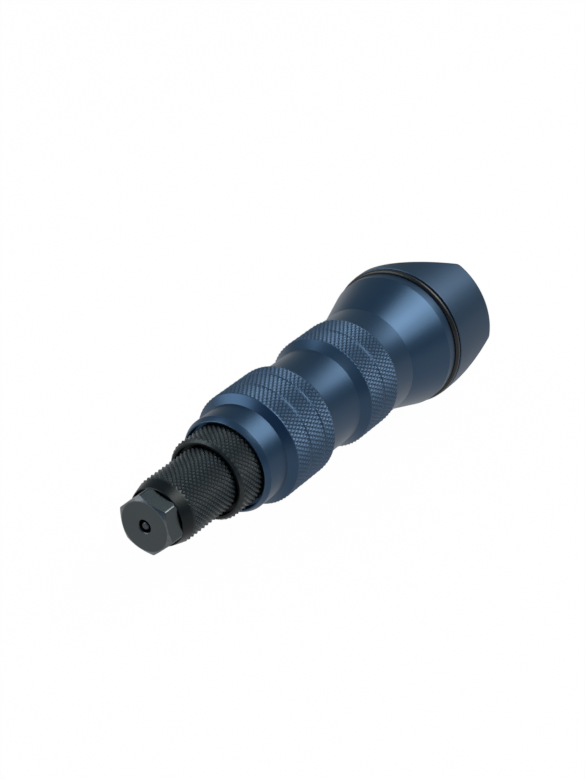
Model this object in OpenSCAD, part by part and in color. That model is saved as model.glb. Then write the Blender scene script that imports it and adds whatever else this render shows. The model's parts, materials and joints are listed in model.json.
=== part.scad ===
// Rivet drill adapter: a drill turns the hex shank, a screw inside the grip
// draws a nut back, and the nut pulls three jaws that hold the rivet's mandrel.
// The tool axis lies along Y. The origin is the middle of the nosepiece's front face.

/* [Nosepiece] */
// Size of the hexagon across its flats
nose_af = 16.3; // [14:0.1:17]
// Length of the hexagon
nose_head_len = 5.6; // [4:0.1:9]
// How far the front chamfer reaches back at the corners
nose_chamfer_len = 0.9; // [0.4:0.1:2]
// How far one corner of the hexagon is turned from the top
nose_turn = 46.8; // [0:0.1:60]
// Diameter of the hole that takes the rivet's mandrel
mandrel_hole_d = 4; // [3.2:0.1:5]
// Diameter of the thread that screws into the sleeve
nose_thread_d = 12; // [10:0.5:13]
// Length of that thread
nose_thread_len = 7.4; // [5:0.1:12]
// Diameter of the tail that holds the jaws open
nose_tail_d = 6.4; // [5.6:0.1:7]
// Length of that tail
nose_tail_len = 3; // [2:0.1:5]

/* [Nose sleeve] */
// Thickness of the lip round the recess in the sleeve's mouth
sleeve_lip = 0.4; // [0.4:0.1:0.8]
// Depth of that recess
sleeve_mouth_depth = 1.2; // [0.6:0.1:2.5]
// Outer diameter at the mouth
sleeve_front_d = 18.2; // [18.1:0.1:19.8]
// Length of the tapered nose in front of the knurl
sleeve_nose_len = 5.2; // [3:0.1:8]
// Outer diameter over the knurl
sleeve_knurl_d = 20.8; // [20.2:0.1:22]
// Length of the knurl
sleeve_knurl_len = 18.7; // [12:0.1:24]
// Diameter of the long outside thread
sleeve_thread_d = 19.7; // [19.3:0.1:20]
// How far the thread reaches into the housing
sleeve_grip_len = 15.5; // [10:0.1:18]

/* [Lock ring] */
// How far the sleeve's knurl reaches into the ring's open mouth
knurl_in_ring = 1; // [0.2:0.1:1.5]
// Length of the ring
ring_len = 12; // [9:0.1:16]
// How far the ring stands out of the sleeve's knurl
ring_rise = 2.75; // [2.4:0.05:3.2]
// Gap between the ring's open mouth and the sleeve's knurl
ring_mouth_gap = 0.9; // [0.4:0.1:1.1]
// Depth of that mouth
ring_mouth_depth = 2.6; // [2:0.1:4]
// Length of the plain front band
ring_band_len = 1; // [0.8:0.1:4]

/* [Housing front] */
// Gap between the lock ring and the mouth that it enters
mouth_gap = 0.8; // [0.3:0.1:1.2]
// Depth of that mouth
body_mouth_depth = 2.9; // [1.5:0.1:5]
// Length of the chamfer round the mouth
body_chamfer_len = 1.9; // [0.5:0.1:3]
// Wall of the plain collar round the mouth
collar_wall = 1.4; // [0.8:0.1:2.4]
// Length from the mouth to the end of the collar
collar_len = 10.1; // [7:0.1:14]
// Length of the ramp from the collar up to the front grip
front_ramp_len = 2.3; // [1:0.1:5]

/* [Grips] */
// Diameter over the front knurled grip
front_grip_d = 36.2; // [35:0.1:38]
// Length of the front grip
front_grip_len = 19.4; // [15:0.1:26]
// Length of the slope from the front grip down to the neck
neck_fall_len = 2.2; // [1:0.1:8]
// Diameter of the neck between the grips
neck_d = 31.8; // [31:0.1:34]
// Length of the straight neck
neck_len = 15; // [8:0.1:20]
// Length of the ramp from the neck up to the rear grip
rear_ramp_len = 3.4; // [1.5:0.1:6]
// Diameter over the rear knurled grip
rear_grip_d = 36.4; // [35:0.1:38]
// Length of the rear grip
rear_grip_len = 15.3; // [12:0.1:22]
// Width of the ring grooves turned into both grips
groove_w = 0.9; // [0.5:0.1:1.4]
// Width of the grooves' flat bottom
groove_floor_w = 0.4; // [0.2:0.1:0.4]
// Depth of the ring grooves
groove_depth = 0.4; // [0.2:0.1:0.8]
// Distance from the front grip's front edge to its first groove
first_groove_at = 6.7; // [3:0.1:8]
// Distance between the front grip's two grooves
groove_pitch = 7.5; // [4:0.1:9]
// Distance from the rear grip's front edge to its groove
rear_groove_at = 7.5; // [3:0.1:9]

/* [Housing rear] */
// Diameter of the smooth band behind the rear grip
band_d = 35.1; // [34.6:0.1:36]
// Length of that band
band_len = 9.7; // [6:0.1:14]
// Length of the cone
cone_len = 15.2; // [10:0.1:20]
// How much the rim rises from the cone's wide end to the rear edge
rim_rise = 0; // [0:0.1:1.4]
// How far the housing's rear edge lies inside the cap's front edge
rim_in = 1; // [0.1:0.1:1.2]
// Length of the rim behind the cone
rim_len = 3.5; // [2:0.1:8]

/* [Seal ring] */
// Width of the rubber ring between the housing and the cap
seal_ring_w = 2.1; // [1.2:0.1:3.5]
// How far the ring's edge lies inside the cap's front edge
seal_ring_in = 0.1; // [0:0.1:0.6]

/* [Rear cap] */
// Diameter at the cap's front edge
cap_front_d = 46.4; // [45:0.1:50]
// Diameter at the cap's rear edge
cap_rear_d = 46.3; // [44:0.1:48]
// Length of the cap's visible part
cap_len = 19.8; // [17:0.1:26]
// Rounding of the cap's rear edge
cap_edge_r = 1.2; // [0.5:0.1:2]
// Length of the round rim in front of the two flats
cap_rim_len = 3.5; // [1:0.1:5]
// Distance across the two flats at the rear face
cap_flat_w = 25.4; // [23:0.1:32]
// How far the flats are turned from the top
cap_turn = -28.7; // [-90:0.1:90]
// Width of the cap's front face, from its edge in to the thread that screws into the housing
cap_face_w = 4.7; // [4.5:0.1:5.2]
// Length of that thread
cap_thread_len = 9; // [8:0.1:12]
// Depth of the recess round the drive shaft
recess_depth = 3; // [1:0.1:3.8]
// Outer diameter of the rubber seal round the drive shaft
shaft_seal_d = 19; // [18:0.1:20]
// Thickness of that seal
shaft_seal_t = 5; // [4:0.1:6]

/* [Drive spindle] */
// Size of the hex shank across its flats
shank_af = 8; // [6.3:0.1:10]
// How far the shank stands out behind the cap
shank_out = 16.4; // [12:0.1:30]
// Diameter of the shaft in the shaft seal
shaft_d = 13; // [12:0.1:14]
// Diameter of the seat in the ball bearing
journal_d = 15; // [14.4:0.1:15.6]
// Diameter of the seat in the thrust bearing
thrust_seat_d = 17; // [16:0.1:17.6]
// How far the flange's edge lies inside the thrust bearing's edge
flange_in = 1.5; // [1:0.1:3]
// Thickness of the flange
flange_t = 4; // [3:0.1:6]
// Diameter of the drive screw
screw_d = 14; // [12:0.1:14]
// Diameter of the bore for the ejector spring
spindle_bore_d = 6; // [5.4:0.1:6.6]
// Thickness of the clip that holds the ball bearing
clip_t = 1; // [0.8:0.1:1.2]
// Depth of the clip's groove
clip_depth = 0.6; // [0.4:0.1:0.8]

/* [Bearings] */
// Outer diameter of the ball bearing
bearing_d = 28; // [27:0.1:29]
// Width of the ball bearing
bearing_w = 7; // [6:0.1:8]
// Diameter of its balls
ball_d = 3.8; // [3:0.1:4]
// Number of balls
ball_count = 11; // [7:1:12]
// Outer diameter of the thrust bearing
thrust_d = 30; // [28:0.1:31]
// Thickness of each thrust washer
washer_t = 1; // [0.8:0.1:1.5]
// Diameter of the thrust bearing's needles
needle_d = 1.96; // [1.5:0.02:2.4]
// Number of needles
needle_count = 18; // [12:1:20]

/* [Pull parts] */
// How far the jaws are drawn back
stroke = 18; // [10:0.5:18]
// Outer diameter of the pull nut and the pull tube
pull_d = 22.6; // [22:0.1:22.8]
// Length of the nut behind the pull tube
nut_len = 15.5; // [14:0.1:18]
// Length of the nut's front thread, inside the pull tube
nut_thread_len = 6; // [4:0.1:8]
// Diameter of the nut's front thread
nut_thread_d = 18; // [17:0.1:18.6]
// Width of the keys that stop the nut from turning
key_w = 4; // [3:0.1:5]
// How far the keys stand out of the nut
key_out = 1.6; // [1:0.1:2]
// Thickness of the pull tube's front wall
tube_wall = 2.5; // [1.5:0.1:4]
// Length of the neck between the pull tube and the jaw case
tube_neck_len = 5; // [3:0.1:8]
// Length of the thread that holds the jaw case
tube_thread_len = 8; // [5:0.1:10]

/* [Jaws] */
// Outer diameter of the jaw case
case_d = 16.2; // [15.4:0.1:16.2]
// Gap between the nosepiece's tail and the edge of the case's cone
tail_gap = 0.4; // [0.3:0.1:0.8]
// Wall of the case behind the cone
case_wall = 1.7; // [1.6:0.1:2]
// Angle between the cone and the tool axis
cone_angle = 12; // [10:0.5:14]
// Length of the jaws
jaw_len = 11; // [9:0.1:11.2]
// How far the jaws slide along the cone to grip
jaw_travel = 2.5; // [1.5:0.1:2.5]
// Gap between neighbouring jaws when they grip
jaw_split = 0.4; // [0.2:0.1:0.8]
// Smallest diameter between the jaws' teeth when they grip
grip_d = 2.5; // [2.4:0.1:3]
// Length of the pusher behind the jaws
pusher_len = 6; // [5:0.1:8]
// Gap between the jaw spring and the case
jaw_spring_gap = 0.5; // [0.3:0.1:1.4]
// Wire of the jaw spring
jaw_spring_wire = 1.4; // [1:0.1:1.6]

/* [Ejector] */
// Diameter of the pin that pushes the spent mandrel out
pin_d = 2.2; // [1.8:0.1:2.2]
// How far the pin's tip lies inside the nosepiece
pin_depth = 0.3; // [0.1:0.1:2]
// How far a mandrel can push the pin back
pin_travel = 35; // [20:1:35]
// Wire of the ejector spring
pin_spring_wire = 0.7; // [0.5:0.1:0.8]
// Turns of the ejector spring
pin_spring_turns = 20; // [16:1:24]
// How much of the spring's room is left when it is pressed shut
pin_spring_spare = 6.68; // [1:0.01:9]

/* [Hidden] */
$fn = 96;

// Clearances, each on the radius or on one face
thread_clear = 0.05;
run_clear = 0.05;
slide_clear = 0.1;
seat_clear = 0.01;
face_gap = 0.02;
bore_clear = 0.2;
cut = 1;

// Diameters that follow from the piece inside or outside them
case_bore_d = case_d - 2 * case_wall;
case_mouth_d = nose_tail_d + 2 * tail_gap;
jaw_spring_d = case_bore_d - 2 * jaw_spring_gap;
sleeve_mouth_d = sleeve_front_d - 2 * sleeve_lip;
sleeve_bore_d = case_d + 2 * slide_clear;
ring_mouth_d = sleeve_knurl_d + 2 * ring_mouth_gap;
ring_d = sleeve_knurl_d + 2 * ring_rise;
body_mouth_d = ring_d + 2 * mouth_gap;
collar_d = body_mouth_d + 2 * collar_wall;
body_bore_d = pull_d + 2 * bore_clear;
cap_thread_d = cap_front_d - 2 * cap_face_w;
seal_ring_d = cap_front_d - 2 * seal_ring_in;
rim_d = cap_front_d - 2 * rim_in;
cone_d = rim_d - 2 * rim_rise;
flange_d = thrust_d - 2 * flange_in;

// Places along the tool axis, from the front face to the shank
hex_rear = nose_head_len;
nose_thread_rear = hex_rear + nose_thread_len;
tail_rear = nose_thread_rear + nose_tail_len;
sleeve_knurl_front = hex_rear + sleeve_nose_len;
sleeve_knurl_rear = sleeve_knurl_front + sleeve_knurl_len;
ring_front = sleeve_knurl_rear - knurl_in_ring;
ring_rear = ring_front + ring_len;
sleeve_rear = ring_rear + sleeve_grip_len;
body_front = ring_rear - body_mouth_depth;
collar_rear = body_front + collar_len;
front_grip_front = collar_rear + front_ramp_len;
front_grip_rear = front_grip_front + front_grip_len;
neck_front = front_grip_rear + neck_fall_len;
neck_rear = neck_front + neck_len;
rear_grip_front = neck_rear + rear_ramp_len;
rear_grip_rear = rear_grip_front + rear_grip_len;
cone_front = rear_grip_rear + band_len;
cone_rear = cone_front + cone_len;
body_rear = cone_rear + rim_len;
cap_front = body_rear + seal_ring_w;
cap_rear = cap_front + cap_len;
recess_floor = cap_rear - recess_depth;
shank_rear = cap_rear + shank_out;

// The bearing stack, built forward from the cap's threaded end
cap_thread_front = body_rear - cap_thread_len;
bearing_rear = cap_thread_front + bearing_w;
flange_gap = 0.4;
flange_rear = cap_thread_front - flange_gap;
flange_front = flange_rear - flange_t;
needle_gap = needle_d + 2 * face_gap;
rear_washer_front = flange_front - washer_t;
front_washer_rear = rear_washer_front - needle_gap;
thrust_shoulder = front_washer_rear - washer_t;
seat_ahead = 0.5;
thrust_seat_front = thrust_shoulder - seat_ahead;

// The circle that the balls run on, its grooves, and the races' height beside them
ball_circle_r = (journal_d + bearing_d) / 4;
ball_groove_r = ball_d / 2 + run_clear;
race_land = 1.15;
bearing_mid = cap_thread_front + bearing_w / 2;

// The thrust bearing's cage and the needles in it
cage_edge = 0.9;
cage_inner_r = thrust_seat_d / 2 + 4 * run_clear;
cage_outer_r = thrust_d / 2 - 4 * run_clear;
needle_circle_r = (cage_inner_r + cage_outer_r) / 2;
needle_len = cage_outer_r - cage_inner_r - 2 * cage_edge;

// The nut at rest, in front of its stop at the thrust bearing's seat
nut_stop_gap = 0.3;
nut_rear = thrust_seat_front - nut_stop_gap - stroke;
nut_front = nut_rear - nut_len;
nut_thread_front = nut_front - nut_thread_len;

// The tube at rest, behind the sleeve, and the screw's end, which the tube's floor nearly
// reaches at full stroke
tube_gap = 1;
tube_front = sleeve_rear + tube_gap;
tube_floor = tube_front + tube_wall;
screw_end_gap = 0.5;
screw_front = tube_floor + stroke + screw_end_gap;
case_rear = tube_front - tube_neck_len;
tube_thread_front = case_rear - tube_thread_len;
case_front = nose_thread_rear + 1.2;
jaw_front = tail_rear + face_gap;
jaw_rear = jaw_front + jaw_len;
jaw_step = 120;
pusher_front = jaw_rear + face_gap;
pusher_rear = pusher_front + pusher_len;
spring_seat = 1;

// The keys in the nut
key_inset = 2;
key_front = nut_front + key_inset;
key_len = nut_len - 2 * key_inset;
key_root_r = pull_d / 2 - 2.3;

// The ejector inside the spindle
guide_len = 6;
guide_rear = screw_front + guide_len;
pin_head_len = 3;
pin_head_rear = guide_rear + face_gap + pin_head_len;
spindle_bore_rear = pin_head_rear + pin_travel + pin_spring_turns * pin_spring_wire
    + pin_spring_spare;

// Shapes turned about the tool axis, from a profile of [radius, place] points
module turned(profile) {
    rotate([-90, 0, 0]) rotate_extrude() polygon(profile);
}

// A plain round bar from one place on the axis to another
module bar(d, y0, y1) {
    translate([0, y0, 0]) rotate([-90, 0, 0]) cylinder(d = d, h = y1 - y0);
}

// A ring with a round bore
module ring(d, bore_d, y0, y1) {
    difference() {
        bar(d, y0, y1);
        bar(bore_d, y0 - cut, y1 + cut);
    }
}

// A hexagonal bar with one corner turned from the top
module hex_bar(af, turn, y0, y1) {
    translate([0, y0, 0]) rotate([0, turn - 90, 0]) rotate([-90, 0, 0])
        cylinder(d = af / cos(30), h = y1 - y0, $fn = 6);
}

// Points of an arc about [x, y], for a profile
function arc(x, y, r, from, to, steps = 6) =
    [for (i = [0 : steps]) let (a = from + (to - from) * i / steps)
        [x + r * cos(a), y + r * sin(a)]];

// A groove with slanting sides in a band of radius r, for a profile
function groove(r, y) =
    [[r, y - groove_w / 2], [r - groove_depth, y - groove_floor_w / 2],
        [r - groove_depth, y + groove_floor_w / 2], [r, y + groove_w / 2]];

// Place along a coil after u turns: the end turns lie almost wire on wire, the rest are open
function coil_y(u, turns, wire, run) =
    let (shut = wire + face_gap, lead = (run - 2 * shut) / (turns - 2))
    u < 1 ? u * shut
    : u > turns - 1 ? run - (turns - u) * shut
    : shut + (u - 1) * lead;

// A compression spring with closed ends, as one swept tube of outer diameter d
module coil(d, wire, y0, y1, turns, per_turn, sides) {
    r = (d - wire) / 2;
    n = turns * per_turn;
    points = [for (i = [0 : n], k = [0 : sides - 1])
        let (u = i / per_turn, a = 360 * u, b = 360 * k / sides,
            reach = r + wire / 2 * cos(b),
            y = y0 + wire / 2 + coil_y(u, turns, wire, y1 - y0 - wire))
        [reach * sin(a), y + wire / 2 * sin(b), reach * cos(a)]];
    walls = [for (i = [0 : n - 1], k = [0 : sides - 1])
        let (a = i * sides + k, b = i * sides + (k + 1) % sides)
        each [[a, b, b + sides], [a, b + sides, a + sides]]];
    ends = [for (k = [1 : sides - 2])
        each [[0, k + 1, k], [n * sides, n * sides + k, n * sides + k + 1]]];
    polyhedron(points, concat(walls, ends), convexity = 10);
}

module nosepiece() {
    corner_r = nose_af / cos(30) / 2;
    rear_chamfer = 0.4;
    color([0.17, 0.19, 0.2]) difference() {
        union() {
            intersection() {
                hex_bar(nose_af, nose_turn, 0, hex_rear);
                turned([[0, 0], [corner_r - nose_chamfer_len / tan(30), 0],
                    [corner_r + cut, nose_chamfer_len + cut * tan(30)],
                    [corner_r + cut, hex_rear - rear_chamfer - cut],
                    [corner_r - rear_chamfer, hex_rear], [0, hex_rear]]);
            }
            turned([[0, hex_rear - cut], [nose_thread_d / 2, hex_rear - cut],
                [nose_thread_d / 2, nose_thread_rear - 0.6],
                [nose_thread_d / 2 - 0.6, nose_thread_rear],
                [nose_tail_d / 2, nose_thread_rear], [nose_tail_d / 2, tail_rear - 0.3],
                [nose_tail_d / 2 - 0.3, tail_rear], [0, tail_rear]]);
        }
        bar(mandrel_hole_d, -cut, tail_rear + cut);
    }
}

module nose_sleeve() {
    front_r = sleeve_front_d / 2;
    knurl_r = sleeve_knurl_d / 2;
    thread_r = sleeve_thread_d / 2;
    color([0.13, 0.14, 0.15]) difference() {
        turned([[0, hex_rear], [front_r - 0.2, hex_rear], [front_r, hex_rear + 0.2],
            [knurl_r, sleeve_knurl_front], [knurl_r, sleeve_knurl_rear - 0.4],
            [knurl_r - 0.4, sleeve_knurl_rear], [thread_r - 0.4, sleeve_knurl_rear],
            [thread_r, sleeve_knurl_rear + 0.6], [thread_r, sleeve_rear - 0.8],
            [thread_r - 0.8, sleeve_rear], [0, sleeve_rear]]);
        bar(sleeve_mouth_d, hex_rear - cut, hex_rear + sleeve_mouth_depth);
        bar(nose_thread_d + 2 * thread_clear, hex_rear, sleeve_rear);
        bar(sleeve_bore_d, nose_thread_rear, sleeve_rear + cut);
    }
}

module lock_ring() {
    r = ring_d / 2;
    mouth_r = ring_mouth_d / 2;
    edge = 0.8;
    step = 0.25;
    band_rear = ring_front + ring_band_len;
    color([0.12, 0.13, 0.14]) difference() {
        turned([[0, ring_front], [r - step - edge, ring_front],
            [r - step, ring_front + edge], [r - step, band_rear],
            [r, band_rear + step], [r, ring_rear - edge],
            [r - edge, ring_rear], [0, ring_rear]]);
        bar(2 * mouth_r, ring_front - cut, ring_front + ring_mouth_depth);
        bar(sleeve_thread_d + 2 * thread_clear, ring_front, ring_rear + cut);
    }
}

// The outside of the housing, from its mouth to its rear edge
function housing_outline() = let (mouth_r = body_mouth_d / 2, collar_r = collar_d / 2,
        front_r = front_grip_d / 2, neck_r = neck_d / 2, rear_r = rear_grip_d / 2,
        band_r = band_d / 2, lip = 0.5, edge = 0.3)
    concat([[0, body_front], [mouth_r + lip, body_front],
        [collar_r, body_front + body_chamfer_len], [collar_r, collar_rear],
        [front_r - edge, front_grip_front - edge], [front_r, front_grip_front]],
        groove(front_r, front_grip_front + first_groove_at),
        groove(front_r, front_grip_front + first_groove_at + groove_pitch),
        [[front_r, front_grip_rear - edge], [front_r - edge, front_grip_rear],
        [neck_r, neck_front], [neck_r, neck_rear],
        [rear_r - edge, rear_grip_front - edge], [rear_r, rear_grip_front]],
        groove(rear_r, rear_grip_front + rear_groove_at),
        [[rear_r, rear_grip_rear - edge], [band_r, rear_grip_rear + edge],
        [band_r, cone_front], [cone_d / 2, cone_rear],
        [rim_d / 2, body_rear - edge], [rim_d / 2 - edge, body_rear], [0, body_rear]]);

module housing() {
    keyway_front = nut_front + 1;
    keyway_w = key_w + 2 * run_clear;
    keyway_r = pull_d / 2 + key_out + slide_clear;
    color([0.15, 0.26, 0.42]) difference() {
        turned(housing_outline());
        bar(body_mouth_d, body_front - cut, ring_rear);
        bar(sleeve_thread_d + 2 * thread_clear, body_front, sleeve_rear + cut);
        bar(body_bore_d, sleeve_rear + 0.4, thrust_shoulder + cut);
        for (side = [0, 180]) rotate([0, side, 0])
            translate([-keyway_w / 2, keyway_front, 0])
            cube([keyway_w, thrust_shoulder + cut - keyway_front, keyway_r]);
        bar(thrust_d + 2 * seat_clear, thrust_shoulder, body_rear);
        bar(cap_thread_d + 2 * thread_clear, cap_thread_front, body_rear + cut);
    }
}

module seal_ring() {
    r = seal_ring_d / 2;
    round_r = seal_ring_w / 3;
    inner_r = cap_thread_d / 2 + thread_clear;
    color([0.07, 0.07, 0.07]) turned(concat([[inner_r, body_rear]],
        arc(r - round_r, body_rear + round_r, round_r, -90, 0, 4),
        arc(r - round_r, cap_front - round_r, round_r, 0, 90, 4),
        [[inner_r, cap_front]]));
}

// Each flat runs from the cap's rim down to the rear face
module cap_flats() {
    rim_rear = cap_front + cap_rim_len;
    drop = (cap_front_d - cap_flat_w) / 2;
    lean = atan(drop / (cap_rear - rim_rear));
    for (side = [0, 180]) rotate([0, cap_turn + side, 0])
        translate([0, rim_rear, cap_front_d / 2]) rotate([-lean, 0, 0])
        translate([-cap_front_d, -cap_len, 0]) cube([2 * cap_front_d, 4 * cap_len, cap_len]);
}

module rear_cap() {
    front_r = cap_front_d / 2;
    rear_r = cap_rear_d / 2;
    edge = 0.4;
    seal_front = recess_floor - shaft_seal_t;
    clip_room = 3;
    color([0.15, 0.26, 0.42]) difference() {
        turned(concat([[0, cap_thread_front], [cap_thread_d / 2 - edge, cap_thread_front],
            [cap_thread_d / 2, cap_thread_front + edge], [cap_thread_d / 2, cap_front],
            [front_r - edge, cap_front], [front_r, cap_front + edge]],
            arc(rear_r - cap_edge_r, cap_rear - cap_edge_r, cap_edge_r, 0, 90),
            [[0, cap_rear]]));
        cap_flats();
        bar(bearing_d + 2 * seat_clear, cap_thread_front - cut, bearing_rear);
        bar(bearing_d - 3, bearing_rear - cut, bearing_rear + clip_room);
        bar(shaft_d + 1, bearing_rear, cap_rear);
        bar(shaft_seal_d, seal_front, cap_rear + cut);
    }
}

module shaft_seal() {
    seal_front = recess_floor - shaft_seal_t;
    outer_r = shaft_seal_d / 2 - seat_clear;
    lip_r = shaft_d / 2 + run_clear;
    body_r = lip_r + 0.9;
    color([0.06, 0.06, 0.06]) turned([[body_r, seal_front], [outer_r, seal_front],
        [outer_r, recess_floor - 0.4], [outer_r - 0.4, recess_floor],
        [outer_r - 1.1, recess_floor], [outer_r - 1.4, recess_floor - 0.5],
        [lip_r + 0.7, recess_floor - 0.5], [lip_r + 0.1, recess_floor],
        [lip_r, recess_floor - 0.3], [lip_r, recess_floor - 1.2],
        [body_r, recess_floor - 2]]);
}

module drive_spindle() {
    screw_r = screw_d / 2;
    seat_r = thrust_seat_d / 2;
    journal_r = journal_d / 2;
    shaft_r = shaft_d / 2;
    groove_r = journal_r - clip_depth;
    boss_r = journal_r + 1.5;
    end_len = 1.2;
    shaft_rear = cap_rear - 1.5;
    corner_r = shank_af / cos(30) / 2;
    color([0.62, 0.63, 0.64]) difference() {
        union() {
            turned([[0, screw_front], [screw_r - 1, screw_front], [screw_r, screw_front + 1],
                [screw_r, thrust_seat_front], [seat_r, thrust_seat_front],
                [seat_r, flange_front], [flange_d / 2, flange_front],
                [flange_d / 2, flange_rear], [boss_r, flange_rear],
                [boss_r, cap_thread_front], [journal_r, cap_thread_front],
                [journal_r, bearing_rear + seat_clear], [groove_r, bearing_rear + seat_clear],
                [groove_r, bearing_rear + clip_t + 3 * seat_clear],
                [journal_r, bearing_rear + clip_t + 3 * seat_clear],
                [journal_r, bearing_rear + 2 * clip_t], [shaft_r, bearing_rear + 3 * clip_t],
                [shaft_r, shaft_rear - 1], [shaft_r - 1, shaft_rear], [0, shaft_rear]]);
            intersection() {
                hex_bar(shank_af, 0, shaft_rear - cut, shank_rear);
                turned([[0, shaft_rear - cut], [corner_r + cut, shaft_rear - cut],
                    [corner_r + cut, shank_rear - (end_len + cut) * tan(30)],
                    [corner_r - end_len, shank_rear], [0, shank_rear]]);
            }
        }
        bar(spindle_bore_d, screw_front - cut, spindle_bore_rear);
    }
}

module shaft_clip() {
    inner_r = journal_d / 2 - clip_depth + seat_clear;
    outer_r = journal_d / 2 + 1.6;
    gap = 5;
    ear_r = 1.3;
    ear_at = outer_r + 0.3;
    ear_turn = 24;
    y0 = bearing_rear + 2 * seat_clear;
    color([0.3, 0.3, 0.31]) difference() {
        union() {
            ring(2 * outer_r, 2 * inner_r, y0, y0 + clip_t);
            for (side = [-1, 1]) rotate([0, side * ear_turn, 0]) translate([0, 0, ear_at])
                bar(2 * ear_r, y0, y0 + clip_t);
        }
        bar(2 * inner_r, y0 - cut, y0 + clip_t + cut);
        translate([-gap / 2, y0 - cut, 0]) cube([gap, clip_t + 2 * cut, 2 * outer_r]);
        for (side = [-1, 1]) rotate([0, side * ear_turn, 0]) translate([0, 0, ear_at])
            bar(ear_r, y0 - cut, y0 + clip_t + cut);
    }
}

module ball_groove() {
    translate([0, bearing_mid, 0]) rotate([-90, 0, 0]) rotate_extrude()
        translate([ball_circle_r, 0]) circle(r = ball_groove_r, $fn = 48);
}

module bearing_outer_race() {
    color([0.7, 0.71, 0.72]) difference() {
        ring(bearing_d, 2 * (ball_circle_r + race_land), cap_thread_front, bearing_rear - seat_clear);
        ball_groove();
    }
}

module bearing_inner_race() {
    color([0.7, 0.71, 0.72]) difference() {
        ring(2 * (ball_circle_r - race_land), journal_d + 2 * seat_clear,
            cap_thread_front + seat_clear, bearing_rear);
        ball_groove();
    }
}

// Puts its children at each ball
module at_balls() {
    for (i = [0 : ball_count - 1]) rotate([0, i * 360 / ball_count, 0])
        translate([0, bearing_mid, ball_circle_r]) children();
}

module bearing_balls() {
    color([0.8, 0.8, 0.82]) at_balls() sphere(d = ball_d, $fn = 48);
}

module bearing_cage() {
    half_t = race_land - 0.45;
    half_w = ball_d / 2 + 0.7;
    color([0.72, 0.6, 0.3]) difference() {
        ring(2 * (ball_circle_r + half_t), 2 * (ball_circle_r - half_t),
            bearing_mid - half_w, bearing_mid + half_w);
        at_balls() sphere(d = ball_d + 0.2, $fn = 48);
    }
}

module thrust_front_washer() {
    color([0.68, 0.69, 0.7]) ring(thrust_d, thrust_seat_d + 4 * run_clear,
        thrust_shoulder, front_washer_rear);
}

module thrust_rear_washer() {
    color([0.68, 0.69, 0.7]) ring(thrust_d - 0.6, thrust_seat_d + 2 * seat_clear,
        rear_washer_front, flange_front - seat_clear);
}

// Puts its children at each needle, lying outward from the tool axis
module at_needles() {
    for (i = [0 : needle_count - 1]) rotate([0, i * 360 / needle_count, 0])
        translate([0, front_washer_rear + needle_gap / 2, needle_circle_r]) children();
}

module thrust_needles() {
    color([0.8, 0.8, 0.82]) at_needles() cylinder(d = needle_d, h = needle_len, center = true);
}

module thrust_cage() {
    half_w = needle_gap / 2 - 0.3;
    mid = front_washer_rear + needle_gap / 2;
    pocket_w = needle_d + 0.1;
    color([0.72, 0.6, 0.3]) difference() {
        ring(2 * cage_outer_r, 2 * cage_inner_r, mid - half_w, mid + half_w);
        at_needles() cube([pocket_w, needle_gap, needle_len + 0.1], center = true);
    }
}

module at_keys() {
    for (side = [0, 180]) rotate([0, side, 0]) translate([-key_w / 2, key_front, key_root_r])
        children();
}

module pull_nut() {
    r = pull_d / 2;
    edge = 0.6;
    color([0.72, 0.55, 0.25]) difference() {
        turned([[0, nut_thread_front], [nut_thread_d / 2 - edge, nut_thread_front],
            [nut_thread_d / 2, nut_thread_front + edge], [nut_thread_d / 2, nut_front],
            [r, nut_front], [r, nut_rear - edge], [r - edge, nut_rear], [0, nut_rear]]);
        bar(screw_d + 2 * thread_clear, nut_thread_front - cut, nut_rear + cut);
        at_keys() cube([key_w, key_len, pull_d]);
    }
}

module guide_keys() {
    color([0.5, 0.5, 0.52]) at_keys()
        translate([seat_clear, seat_clear, seat_clear])
        cube([key_w - 2 * seat_clear, key_len - 2 * seat_clear,
            pull_d / 2 + key_out - key_root_r - seat_clear]);
}

module pull_tube() {
    r = pull_d / 2;
    neck_r = case_bore_d / 2 + 0.7;
    edge = 0.6;
    thread_r = case_bore_d / 2 - thread_clear;
    color([0.45, 0.46, 0.48]) difference() {
        turned([[0, tube_thread_front], [thread_r - edge, tube_thread_front],
            [thread_r, tube_thread_front + edge], [thread_r, case_rear], [neck_r, case_rear],
            [neck_r, tube_front], [r - edge, tube_front], [r, tube_front + edge],
            [r, nut_front], [0, nut_front]]);
        bar(pin_d + 10 * slide_clear, tube_thread_front - cut, tube_floor + cut);
        bar(screw_d + 12 * slide_clear, tube_floor, nut_front);
        bar(nut_thread_d + 2 * thread_clear, nut_thread_front, nut_front + cut);
    }
}

// Radius of the case's cone at a place on the axis
function cone_r(y) = case_mouth_d / 2 + (y - case_front) * tan(cone_angle);

module jaw_case() {
    r = case_d / 2;
    bore_r = case_bore_d / 2;
    cone_end = case_front + (bore_r - case_mouth_d / 2) / tan(cone_angle);
    edge = 0.8;
    color([0.4, 0.41, 0.43]) turned([[cone_r(case_front), case_front],
        [r - 2 * edge, case_front], [r, case_front + 2 * edge], [r, case_rear - edge],
        [r - edge, case_rear], [bore_r, case_rear], [bore_r, cone_end]]);
}

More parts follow.
